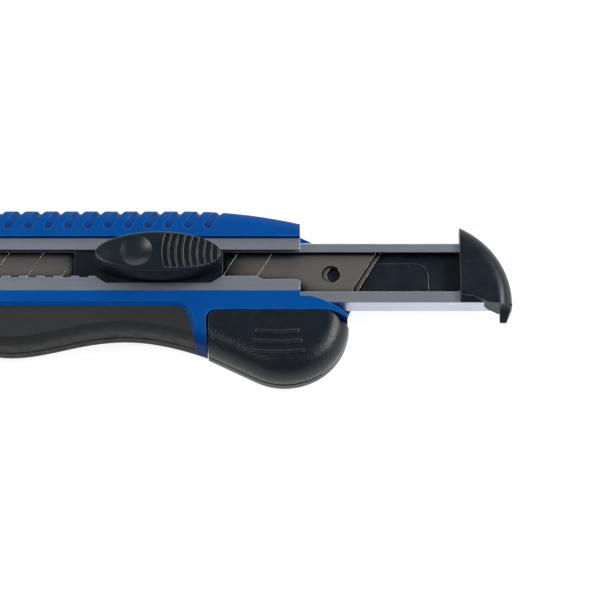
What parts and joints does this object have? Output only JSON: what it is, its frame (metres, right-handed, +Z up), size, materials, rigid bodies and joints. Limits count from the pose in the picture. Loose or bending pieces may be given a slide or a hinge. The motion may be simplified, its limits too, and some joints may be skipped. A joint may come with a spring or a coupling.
{
  "type": "utility knife",
  "caption": "Snap-off utility knife with a thumb slider, a steel rail, a magazine tray of spare blades drawn out of the rear and a pull-off bin for snapped-off segments.",
  "frame": {"origin": "on the flat resting face, under the rail's centre line, at the near shell's rear end", "axes": "+X to the rear along the blade, +Y to the spine, +Z up through the slider"},
  "size_m": [0.2101, 0.0536, 0.0219],
  "materials": {
    "blue_shell": "satin",
    "soft_grip": "matt",
    "rail_steel": "brushed",
    "blade_steel": "ground",
    "black_plastic": "satin",
    "bin_plastic": "grained",
    "spring_steel": "bright",
    "fastener_steel": "zinc"
  },
  "bodies": {
    "housing": {"near_shell": "blue_shell", "far_shell": "blue_shell", "near_grip": "soft_grip", "far_grip": "soft_grip", "blade_rail": "rail_steel", "nose_guide": "black_plastic", "nose_rivet": "fastener_steel", "shell_screws": "fastener_steel", "tray_catch": "spring_steel"},
    "slider": {"slider_button": "black_plastic", "slider_carrier": "black_plastic", "slider_rivets": "fastener_steel", "lock_spring": "spring_steel", "drive_pin": "fastener_steel", "working_blade": "blade_steel"},
    "tray": {"magazine_tray": "rail_steel", "follower_plate": "black_plastic", "follower_spring": "spring_steel", "spare_blade_1": "blade_steel", "spare_blade_2": "blade_steel", "spare_blade_3": "blade_steel", "end_cap": "black_plastic", "cap_rivet": "fastener_steel"},
    "bin": {"waste_bin": "bin_plastic"}
  },
  "joints": [
    {"name": "slider_slide", "type": "slide", "parent": "housing", "child": "slider", "axis": [-1, 0, 0], "range_m": [0, 0.0516], "deforming": ["lock_spring"]},
    {"name": "tray_slide", "type": "slide", "parent": "housing", "child": "tray", "axis": [1, 0, 0], "range_m": [-0.0462, 0.045]},
    {"name": "bin_pull", "type": "slide", "parent": "housing", "child": "bin", "axis": [0, -1, 0], "range_m": [0, 0.026]}
  ]
}
